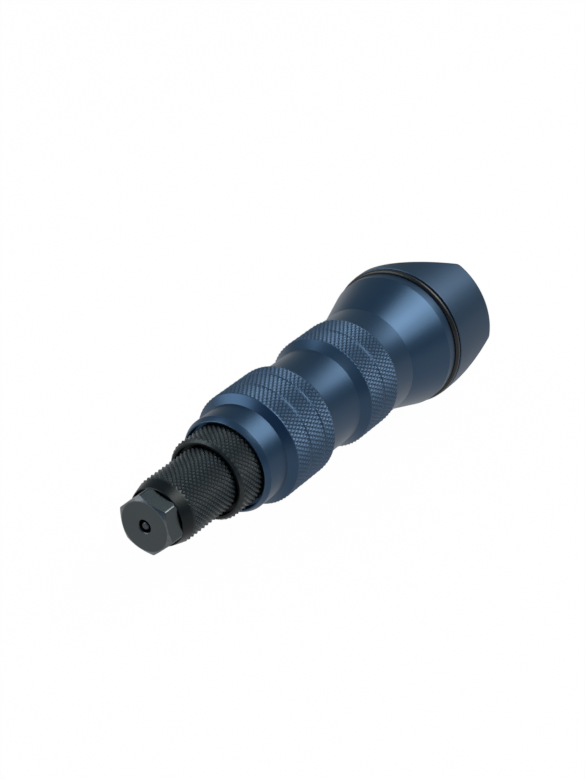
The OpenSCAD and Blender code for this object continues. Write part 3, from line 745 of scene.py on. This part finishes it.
def metal_finish(
    name,
    colour,
    rubbed_and_lit,
    roughness=0.3,
    spread=0.06,
    grain_bump=0.04,
    mark_bump=0.05,
    edge_wear_and_sheen=0.5,
    crest_wear=0.3,
    cloud=0.08,
    painted_valley_shade=0.5,
    knurl_rough=0.0,
    painted_knurl_sheen=0.0,
):
    """A worked metal: its colour, a second colour for wear and for a painted highlight, and its
    grain. A knurl can be rougher than the rest, with painted shade in its valleys and a painted
    sheen that lifts its colour."""
    material, nodes = new_material(name)
    where = nodes.add("ShaderNodeTexCoord").outputs["Object"]
    grain = effect(nodes, GRAIN, Coordinates=where, Grain_Size=0.0002, Cloud_Size=0.014)
    marks = effect(nodes, MARKS, Coordinates=where, Spacing=0.00012)
    wear_and_painted_light = effect(nodes, WEAR_LIGHT_GROUP, Coordinates=where, Edge_Wear=edge_wear_and_sheen, Crest_Wear=crest_wear)
    tone = nodes.spread(grain.outputs["Clouds"], 1.0 - cloud, 1.0 + cloud)
    # The knurl's valleys are darkened with painted shade
    deep = nodes.math("MULTIPLY_ADD", wear_and_painted_light.outputs["Valley"], -painted_valley_shade, 1.0)
    # The standing knurl's colour is lifted with a painted sheen
    knurl_sheen_scale = nodes.math("MULTIPLY_ADD", wear_and_painted_light.outputs["Knurled"], painted_knurl_sheen, 1.0)
    shade = nodes.math("MULTIPLY", nodes.math("MULTIPLY", tone, deep), knurl_sheen_scale)
    plain = nodes.add("ShaderNodeVectorMath", {0: colour, 3: shade}, operation="SCALE").outputs[0]
    # The second colour stands for wear, and on the lock ring's lip it is also a painted highlight
    mixed = nodes.mix(wear_and_painted_light.outputs["Mask"], plain, (*rubbed_and_lit, 1.0))
    rough = nodes.spread(grain.outputs["Grain"], roughness - spread, roughness + spread)
    rough = nodes.math("MULTIPLY_ADD", wear_and_painted_light.outputs["Knurled"], knurl_rough, rough)
    fine = nodes.math("MULTIPLY", grain.outputs["Grain"], grain_bump)
    height = nodes.math("MULTIPLY_ADD", marks.outputs["Height"], mark_bump, fine)
    bump = nodes.add("ShaderNodeBump", {"Height": height, "Distance": 0.0001, "Strength": 1.0})
    shader = nodes.add(
        "ShaderNodeBsdfPrincipled",
        {
            "Base Color": mixed,
            "Metallic": 1.0,
            "Roughness": rough,
            "Normal": bump.outputs["Normal"],
            "Specular IOR Level": 0.5,
        },
    )
    nodes.add("ShaderNodeOutputMaterial", {"Surface": shader.outputs[0]})
    return material


def rubber_finish(name, colour, roughness):
    """Moulded rubber: dark, a little glossy, with a fine moulded grain."""
    material, nodes = new_material(name)
    where = nodes.add("ShaderNodeTexCoord").outputs["Object"]
    grain = effect(nodes, GRAIN, Coordinates=where, Grain_Size=0.00035, Cloud_Size=0.009)
    tone = nodes.spread(grain.outputs["Clouds"], 0.75, 1.25)
    shade = nodes.add("ShaderNodeVectorMath", {0: colour, 3: tone}, operation="SCALE").outputs[0]
    rough = nodes.spread(grain.outputs["Grain"], roughness - 0.08, roughness + 0.08)
    bump = nodes.add(
        "ShaderNodeBump", {"Height": grain.outputs["Grain"], "Distance": 0.00003, "Strength": 1.0}
    )
    shader = nodes.add(
        "ShaderNodeBsdfPrincipled",
        {
            "Base Color": shade,
            "Roughness": rough,
            "Normal": bump.outputs["Normal"],
            "Specular IOR Level": 0.5,
        },
    )
    nodes.add("ShaderNodeOutputMaterial", {"Surface": shader.outputs[0]})
    return material


# Knurled finishes paint shade into their valleys and a sheen over their knurls
FINISHES = {
    "anodised_blue": metal_finish(
        "anodised_blue",
        (0.045, 0.083, 0.141),
        (0.2, 0.26, 0.34),
        roughness=0.356,
        spread=0.025,
        grain_bump=0.02,
        mark_bump=0.015,
        edge_wear_and_sheen=0.3,
        crest_wear=0.45,
        cloud=0.025,
        painted_valley_shade=0.5,
        knurl_rough=0.16,
        painted_knurl_sheen=0.72,
    ),
    # Black steel's second colour is also the painted highlight on the lock ring's lip
    "black_steel": metal_finish(
        "black_steel",
        (0.023, 0.0265, 0.028),
        (0.13, 0.145, 0.15),
        roughness=0.36,
        spread=0.03,
        grain_bump=0.02,
        mark_bump=0.01,
        edge_wear_and_sheen=0.3,
        crest_wear=0.25,
        cloud=0.03,
        painted_valley_shade=0.52,
        painted_knurl_sheen=2.8,
    ),
    "drive_steel": metal_finish(
        "drive_steel", (0.42, 0.42, 0.41), (0.6, 0.6, 0.6), roughness=0.3, mark_bump=0.2
    ),
    "bearing_steel": metal_finish(
        "bearing_steel", (0.6, 0.6, 0.6), (0.7, 0.7, 0.7), roughness=0.16, mark_bump=0.02
    ),
    "cage_brass": metal_finish(
        "cage_brass", (0.62, 0.44, 0.17), (0.8, 0.62, 0.3), roughness=0.3
    ),
    "nut_bronze": metal_finish(
        "nut_bronze", (0.5, 0.31, 0.14), (0.75, 0.52, 0.28), roughness=0.33, mark_bump=0.2
    ),
    "tool_steel": metal_finish(
        "tool_steel", (0.24, 0.24, 0.25), (0.5, 0.5, 0.5), roughness=0.33, mark_bump=0.15
    ),
    "spring_steel": metal_finish(
        "spring_steel", (0.36, 0.35, 0.34), (0.5, 0.5, 0.5), roughness=0.28
    ),
    "pin_steel": metal_finish(
        "pin_steel", (0.075, 0.085, 0.09), (0.3, 0.3, 0.3), roughness=0.38
    ),
    "seal_rubber": rubber_finish("seal_rubber", (0.006, 0.005, 0.0045), roughness=0.25),
}

# The nosepiece is ground and blackened, so it is smoother than the sleeve
NOSE_FINISH = metal_finish(
    "black_nosepiece",
    (0.078, 0.092, 0.098),
    (0.26, 0.27, 0.28),
    roughness=0.33,
    spread=0.03,
    grain_bump=0.015,
    mark_bump=0.01,
    edge_wear_and_sheen=0.5,
    cloud=0.03,
)

# The rear cap is turned a little coarser than the housing, so its highlight is wider
CAP_FINISH = metal_finish(
    "anodised_blue_cap",
    (0.051, 0.086, 0.138),
    (0.18, 0.24, 0.32),
    roughness=0.4,
    spread=0.025,
    grain_bump=0.02,
    mark_bump=0.015,
    edge_wear_and_sheen=0.3,
    cloud=0.025,
)


def make_housing():
    """The housing: collar, two knurled grips with a neck between, band, cone and rim."""
    outline = [
        (COLLAR_R - 0.9, BODY_FRONT),
        (COLLAR_R, BODY_FRONT + 1.9),
        (COLLAR_R, COLLAR_REAR),
        (FRONT_GRIP_R - 0.3, FRONT_GRIP_FRONT - 0.3),
        (FRONT_GRIP_R, FRONT_GRIP_FRONT),
    ]
    for groove in FRONT_GROOVES:
        outline += ring_groove(FRONT_GRIP_R, groove)
    outline += [
        (FRONT_GRIP_R, FRONT_GRIP_REAR - 0.3),
        (FRONT_GRIP_R - 0.3, FRONT_GRIP_REAR),
        (NECK_R, NECK_FRONT),
        (NECK_R, NECK_REAR),
        (REAR_GRIP_R - 0.3, REAR_GRIP_FRONT - 0.3),
        (REAR_GRIP_R, REAR_GRIP_FRONT),
    ]
    outline += ring_groove(REAR_GRIP_R, REAR_GROOVE)
    outline += [
        (REAR_GRIP_R, REAR_GRIP_REAR - 0.3),
        (BAND_R, REAR_GRIP_REAR + 0.3),
        (BAND_R, CONE_FRONT),
        (RIM_R, CONE_REAR),
        (RIM_R, BODY_REAR - 0.3),
        (RIM_R - 0.3, BODY_REAR),
        (CAP_THREAD_R, BODY_REAR),
        (CAP_THREAD_R, CAP_THREAD_FRONT),
        (THRUST_BORE_R, CAP_THREAD_FRONT),
        (THRUST_BORE_R, THRUST_SHOULDER),
        (KEY_SPACE_R, THRUST_SHOULDER),
        (KEY_SPACE_R, KEY_SPACE_FRONT),
        (PULL_BORE_R, KEY_SPACE_FRONT),
        (PULL_BORE_R, SLEEVE_REAR + 0.4),
        (SLEEVE_THREAD_BORE_R, SLEEVE_REAR + 0.4),
        (SLEEVE_THREAD_BORE_R, RING_REAR),
        (MOUTH_R, RING_REAR),
        (MOUTH_R, BODY_FRONT),
    ]
    rows = as_rows(eased(outline, round_off=0.16))
    step = GRIP_LEAD / GRIP_SPLIT
    for front, rear, crest in (
        (FRONT_GRIP_FRONT, FRONT_GRIP_REAR, FRONT_GRIP_R),
        (REAR_GRIP_FRONT, REAR_GRIP_REAR, REAR_GRIP_R),
    ):
        inner = crest - 0.35
        rows = with_rows(rows, front - 0.1, rear - 0.1, inner, step, crest=crest)
    piece = turned_piece(
        "housing_shell",
        rows,
        FINISHES["anodised_blue"],
        sides=GRIP_SPLIT * GRIP_STARTS,
        knurl=(GRIP_STARTS, GRIP_LEAD, GRIP_DEPTH, step),
    )
    place(piece, "housing_body", "anodised_blue", "housing")


def make_nose_sleeve():
    """The sleeve that holds the nosepiece: a plain taper, a knurl and a long thread."""
    outline = [
        (8.9, HEX_REAR),
        (9.1, HEX_REAR + 0.2),
        (9.62, HEX_REAR + 2.2),
        (9.93, SLEEVE_SMOOTH_REAR),
        (SLEEVE_KNURL_R, SLEEVE_KNURL_FRONT),
        (SLEEVE_KNURL_R, SLEEVE_KNURL_REAR - 0.4),
        (SLEEVE_KNURL_R - 0.4, SLEEVE_KNURL_REAR),
        (SLEEVE_THREAD_R - 0.4, SLEEVE_KNURL_REAR),
        (SLEEVE_THREAD_R, SLEEVE_KNURL_REAR + 0.6),
        (SLEEVE_THREAD_R, SLEEVE_REAR - 0.8),
        (SLEEVE_THREAD_R - 0.8, SLEEVE_REAR),
        (SLEEVE_BORE_R, SLEEVE_REAR),
        (SLEEVE_BORE_R, NOSE_THREAD_REAR),
        (NOSE_THREAD_BORE_R, NOSE_THREAD_REAR),
        (NOSE_THREAD_BORE_R, HEX_REAR + 1.2),
        (8.7, HEX_REAR + 1.2),
        (8.7, HEX_REAR),
    ]
    rows = as_rows(eased(outline, round_off=0.12))
    step = FINE_LEAD / FINE_SPLIT
    knurl_rear = SLEEVE_KNURL_REAR - 0.3
    thread_front = SLEEVE_KNURL_REAR + 0.6
    rows = with_rows(rows, HEX_REAR + 0.3, SLEEVE_SMOOTH_REAR, inner=9.05, step=0.2)
    rows = with_rows(rows, SLEEVE_SMOOTH_REAR, knurl_rear, 9.0, step, crest=SLEEVE_KNURL_R)

    # On the taper the knurl runs in from nothing to its whole depth
    run_in = SLEEVE_KNURL_FRONT - SLEEVE_SMOOTH_REAR
    for row in rows:
        if row["crest_radius"] and row["station"] < SLEEVE_KNURL_FRONT:
            share = (row["station"] - SLEEVE_SMOOTH_REAR) / run_in
            row["crest_radius"] = row["radius"] + FINE_DEPTH * (1.0 - share)
    rows = with_rows(rows, thread_front, SLEEVE_REAR - 0.7, inner=9.5, step=0.25, threaded=1.0)
    piece = turned_piece(
        "nose_sleeve_knurled",
        rows,
        FINISHES["black_steel"],
        sides=FINE_SPLIT * SLEEVE_STARTS,
        knurl=(SLEEVE_STARTS, FINE_LEAD, FINE_DEPTH, step),
        thread=SLEEVE_THREAD,
    )
    place(piece, "nose_sleeve_body", "black_steel", "nose_sleeve")


def make_lock_ring():
    """The knurled ring on the sleeve's thread."""
    outline = [
        (12.1, RING_FRONT),
        (12.67, RING_FRONT + 0.8),
        (RING_R, RING_FRONT + 1.45),
        (RING_R, RING_REAR - 0.8),
        (RING_R - 0.8, RING_REAR),
        (RING_THREAD_R, RING_REAR),
        (RING_THREAD_R, RING_FRONT + RING_MOUTH_DEPTH),
        (RING_MOUTH_R, RING_FRONT + RING_MOUTH_DEPTH),
        (RING_MOUTH_R, RING_FRONT),
    ]
    rows = as_rows(eased(outline, round_off=0.1))
    step = FINE_LEAD / FINE_SPLIT

    # The plain lip in front of the knurl takes the wear colour all over, as wear and as a painted
    # highlight
    for row in rows:
        if row["station"] < RING_FRONT + 0.85 and row["radius"] > 12.0:
            row["edge"] = 0.8
    rows = with_rows(rows, RING_FRONT + 0.8, RING_REAR - 0.3, 12.6, step, crest=RING_R)
    piece = turned_piece(
        "lock_ring_knurled",
        rows,
        FINISHES["black_steel"],
        sides=FINE_SPLIT * RING_STARTS,
        knurl=(RING_STARTS, FINE_LEAD, FINE_DEPTH, step),
    )
    place(piece, "lock_ring_body", "black_steel", "lock_ring")


def make_nosepiece():
    """The hexagonal nosepiece with its hole, its thread and its tail."""
    flat = HEX_ACROSS / 2
    corner = flat * CORNER_SHARE
    slope = math.tan(HALF_SECTOR)
    outline = [
        (MANDREL_HOLE_R + 0.25, 0.0),
        (7.6, 0.0),
        (corner - 0.9 / slope, 0.0),
        (corner - 0.1, 0.9 - 0.1 * slope),
        (corner - 0.1, HEX_REAR - 0.7),
        (corner - 0.4, HEX_REAR),
        (NOSE_THREAD_R, HEX_REAR),
        (NOSE_THREAD_R, NOSE_THREAD_REAR - 0.6),
        (NOSE_THREAD_R - 0.6, NOSE_THREAD_REAR),
        (TAIL_R, NOSE_THREAD_REAR),
        (TAIL_R, TAIL_REAR - 0.3),
        (TAIL_R - 0.3, TAIL_REAR),
        (MANDREL_HOLE_R, TAIL_REAR),
        (MANDREL_HOLE_R, 0.25),
    ]
    rows = as_rows(eased(outline, round_off=0.12))
    thread_rear = NOSE_THREAD_REAR - 0.4
    rows = with_rows(rows, 0.0, NOSE_CHAMFER_REAR, inner=7.4, step=0.04)
    rows = with_rows(rows, HEX_REAR - 0.8, HEX_REAR, inner=7.4, step=0.05)
    rows = with_rows(rows, HEX_REAR + 0.8, thread_rear, inner=5.5, step=0.25, threaded=1.0)

    # The front chamfer and the hexagon's rounded corners are rubbed, and the hole's edge isn't
    for row in rows:
        if row["radius"] > 7.0:
            row["flat"] = flat
        if row["radius"] > 7.8 and row["station"] < HEX_REAR - 0.6:
            row["edge"] = 1.0
        if row["radius"] < 3.0:
            row["edge"] = 0.0
    piece = turned_piece(
        "nosepiece_hex",
        rows,
        NOSE_FINISH,
        sides=360,
        thread=NOSE_THREAD,
        flats=(6, HEX_TURN, 0.24),
        sharp=40,
    )
    place(piece, "nosepiece_body", "black_steel", "nosepiece")


def make_rear_cap():
    """The cap behind the seal ring, with two slanting flats."""
    outline = [
        (CAP_SPIGOT_R - 0.4, CAP_THREAD_FRONT),
        (CAP_SPIGOT_R, CAP_THREAD_FRONT + 0.4),
        (CAP_SPIGOT_R, CAP_FRONT),
        (CAP_R - 0.2, CAP_FRONT),
        (CAP_R, CAP_FRONT + 0.2),
    ]
    outline += arc(CAP_REAR_R - CAP_EDGE, CAP_REAR - CAP_EDGE, CAP_EDGE, 0, 90, 12)
    outline += [
        (SHAFT_SEAL_R, CAP_REAR),
        (SHAFT_SEAL_R, SHAFT_SEAL_FRONT),
        (CAP_HOLE_R, SHAFT_SEAL_FRONT),
        (CAP_HOLE_R, BEARING_REAR + 3),
        (CLIP_SPACE_R, BEARING_REAR + 3),
        (CLIP_SPACE_R, BEARING_REAR),
        (CAP_BORE_R, BEARING_REAR),
        (CAP_BORE_R, CAP_THREAD_FRONT),
    ]
    rows = as_rows(eased(outline, round_off=0.16))
    rows = with_rows(rows, CAP_FRONT + 0.1, CAP_REAR, inner=20.0, step=0.3)

    # The flats slant in from the rim to the rear face and turn in a little more at its edge
    rim_rear = CAP_FRONT + CAP_RIM
    for row in rows:
        if row["radius"] > 11.0 and row["station"] > CAP_FRONT:
            share = (row["station"] - rim_rear) / (CAP_REAR - rim_rear)
            row["flat"] = CAP_R + (CAP_FLATS_ACROSS / 2 - CAP_R) * share
            past = max(0.0, (row["station"] - CAP_REAR + CAP_EDGE) / CAP_EDGE)
            row["flat"] -= 0.9 * past**2
    flats = (2, CAP_FLATS_TURN, 1.0)
    piece = turned_piece("rear_cap_flatted", rows, CAP_FINISH, sides=480, flats=flats)
    place(piece, "housing_body", "anodised_blue", "rear_cap")


def make_seal_ring():
    """The rubber ring between the housing and the cap, with a round bead on its outside."""
    outline = [(CAP_THREAD_R, BODY_REAR), (SEAL_FRONT_R, BODY_REAR)]
    outline += arc(BEAD_OUT, CAP_FRONT - BEAD_R - 0.05, BEAD_R, -90, 80, 16)
    outline += [(SEAL_REAR_R, CAP_FRONT), (CAP_THREAD_R, CAP_FRONT)]
    rows = as_rows(eased(outline, round_off=0.1))
    piece = turned_piece("seal_ring_moulded", rows, FINISHES["seal_rubber"], sides=256)
    place(piece, "housing_body", "seal_rubber", "seal_ring")


def make_spindle():
    """The drive spindle: screw, flange, shaft and hexagonal shank in one piece."""
    shaft_rear = CAP_REAR - 1.5
    flat = SHANK_ACROSS / 2
    corner = flat * CORNER_SHARE
    clip_groove = (BEARING_REAR + 0.01, BEARING_REAR + 1.03)
    outline = [
        (PIN_BORE_R, SCREW_FRONT),
        (SCREW_R - 1, SCREW_FRONT),
        (SCREW_R, SCREW_THREAD_FRONT),
        (SCREW_R, THRUST_SEAT_FRONT),
        (THRUST_SEAT_R, THRUST_SEAT_FRONT),
        (THRUST_SEAT_R, FLANGE_FRONT),
        (FLANGE_R, FLANGE_FRONT),
        (FLANGE_R, FLANGE_REAR),
        (SHOULDER_R, FLANGE_REAR),
        (SHOULDER_R, CAP_THREAD_FRONT),
        (SHAFT_R, CAP_THREAD_FRONT),
        (SHAFT_R, clip_groove[0]),
        (SHAFT_R - 0.6, clip_groove[0]),
        (SHAFT_R - 0.6, clip_groove[1]),
        (SHAFT_R, clip_groove[1]),
        (SHAFT_R, BEARING_REAR + 2),
        (SHAFT_R - 1, BEARING_REAR + 3),
        (SHAFT_R - 1, shaft_rear - 1),
        (SHAFT_R - 2, shaft_rear),
        (corner + 0.2, shaft_rear),
        (corner + 0.2, SHANK_REAR - 1.4 * math.tan(HALF_SECTOR)),
        (corner - 1.2, SHANK_REAR),
        (0.0, SHANK_REAR),
        (0.0, PIN_BORE_REAR),
        (PIN_BORE_R, PIN_BORE_REAR),
    ]
    rows = as_rows(eased(outline, round_off=0.12))
    screw = (SCREW_THREAD_FRONT, THRUST_SEAT_FRONT)
    rows = with_rows(rows, SHANK_REAR - 1, SHANK_REAR, inner=2.6, step=0.05)
    rows = with_rows(rows, *screw, inner=6.6, step=0.375, threaded=1.0)
    for row in rows:
        if row["station"] >= shaft_rear - 0.01 and 1.0 < row["radius"] < 5.0:
            row["flat"] = flat
    piece = turned_piece(
        "drive_spindle_turned",
        rows,
        FINISHES["drive_steel"],
        sides=180,
        thread=SCREW_THREAD,
        flats=(6, 30.0, 0.1),
        sharp=40,
    )
    place(piece, "spindle_body", "drive_steel", "drive_spindle")


make_housing()
make_nose_sleeve()
make_lock_ring()
make_nosepiece()
make_rear_cap()
make_seal_ring()
make_spindle()

# Every CAD node takes the finish of its slot
slot_of_node = {entry["node"]: entry["material_slot"] for entry in frame["record"]["subparts"]}
for node_name, node in frame["nodes"].items():
    node.data.materials.clear()
    node.data.materials.append(FINISHES[slot_of_node[node_name]])


def floor_finish():
    """A pale floor that shows as white paper and keeps the soft shadow of the tool."""
    material, nodes = new_material("paper_floor")
    path = nodes.add("ShaderNodeLightPath").outputs
    seen = nodes.math("MAXIMUM", path["Is Camera Ray"], path["Is Glossy Ray"])
    seen = nodes.math("MAXIMUM", seen, path["Is Transmission Ray"])
    paper = nodes.add("ShaderNodeBsdfDiffuse", {"Color": (0.82, 0.82, 0.82, 1.0)})
    glow = nodes.math("MULTIPLY_ADD", path["Is Glossy Ray"], -0.35, 1.0)
    white = nodes.add("ShaderNodeEmission", {"Color": (1.0, 1.0, 1.0, 1.0), "Strength": glow})
    mixed = nodes.add(
        "ShaderNodeMixShader",
        {0: nodes.math("MULTIPLY", seen, 0.985), 1: paper.outputs[0], 2: white.outputs[0]},
    )
    back = nodes.add("ShaderNodeNewGeometry").outputs["Backfacing"]
    clear = nodes.add("ShaderNodeBsdfTransparent")
    shown = nodes.add("ShaderNodeMixShader", {0: back, 1: mixed.outputs[0], 2: clear.outputs[0]})
    nodes.add("ShaderNodeOutputMaterial", {"Surface": shown.outputs[0]})
    return material


def make_floor():
    """A wide disc just under the tool."""
    mesh = bpy.data.meshes.new("paper_floor")
    disc = bmesh.new()
    bmesh.ops.create_circle(disc, cap_ends=True, segments=96, radius=3.0)
    bmesh.ops.translate(disc, verts=disc.verts, vec=(0.0, 0.08, cad_low.z - FLOOR_GAP))
    disc.to_mesh(mesh)
    disc.free()
    mesh.materials.append(floor_finish())
    floor = bpy.data.objects.new("paper_floor", mesh)
    bpy.context.scene.collection.objects.link(floor)


def from_angles(turn, rise, reach):
    """A step of the given reach. Its turn in degrees goes from the tool's rear towards its right
    side, and its rise goes up from level."""
    turn, rise = math.radians(turn), math.radians(rise)
    flat = reach * math.cos(rise)
    return Vector((flat * math.sin(turn), flat * math.cos(turn), reach * math.sin(rise)))


def make_lamp(name, turn, rise, width, height, power, colour):
    """A soft box that faces the middle of the tool."""
    target = Vector((0.0, 0.085, 0.0))
    spot = target + from_angles(turn, rise, LAMP_REACH)
    data = bpy.data.lights.new(name, "AREA")
    data.shape = "RECTANGLE"
    data.size = width
    data.size_y = height
    data.energy = power
    data.color = colour
    lamp = bpy.data.objects.new(name, data)
    lamp.location = spot
    lamp.rotation_euler = (target - spot).to_track_quat("-Z", "Y").to_euler()
    bpy.context.scene.collection.objects.link(lamp)


def make_world():
    """The plain room that the tool mirrors."""
    world = bpy.data.worlds.new("studio")
    world.use_nodes = True
    world.node_tree.nodes.clear()
    nodes = Nodes(world.node_tree)
    where = nodes.add("ShaderNodeTexCoord").outputs["Generated"]
    across, along, up = nodes.add("ShaderNodeSeparateXYZ", {"Vector": where}).outputs

    # The room is dark in front of the tool and pale low down on its left
    front = nodes.add("ShaderNodeMapRange", {"Value": along, "From Min": -0.25, "From Max": -0.8})
    left = nodes.add("ShaderNodeMapRange", {"Value": across, "From Min": -0.4, "From Max": -0.65})
    low = nodes.add("ShaderNodeMapRange", {"Value": up, "From Min": 0.35, "From Max": 0.05})
    pale = nodes.math("MULTIPLY", left.outputs[0], low.outputs[0])
    room = nodes.mix(front.outputs[0], (0.242, 0.333, 0.378, 1.0), (0.07, 0.16, 0.27, 1.0))
    room = nodes.mix(pale, room, (0.42, 0.44, 0.43, 1.0))
    grey = nodes.add("ShaderNodeBackground", {"Color": room, "Strength": 1.0})
    nodes.add("ShaderNodeOutputWorld", {"Surface": grey.outputs[0]})
    bpy.context.scene.world = world


def make_camera():
    """The photograph's camera. It stands in front of the nose, to its right, and looks down."""
    data = bpy.data.cameras.new("camera")
    data.sensor_fit = "HORIZONTAL"
    data.sensor_width = SENSOR_WIDTH
    data.lens = SENSOR_WIDTH * FOCAL_PIXELS / PHOTO_WIDTH
    data.clip_start = 0.01
    data.clip_end = 20.0
    camera = bpy.data.objects.new("camera", data)

    # The camera's own right, up and back, as they were fitted
    right = Vector((0.83499, 0.55027, 0.0))
    up = Vector((-0.26733, 0.40566, 0.87406))
    back = Vector((0.48097, -0.72983, 0.48582))
    axes = Matrix((right, up, back)).transposed().to_4x4()
    camera.matrix_world = Matrix.Translation(Vector(CAMERA_PLACE) * MM) @ axes
    bpy.context.scene.collection.objects.link(camera)
    bpy.context.scene.camera = camera


make_floor()
for lamp_name, values in LAMPS.items():
    make_lamp(lamp_name, *values)
make_world()
make_camera()
bpy.context.scene.view_settings.view_transform = "Standard"
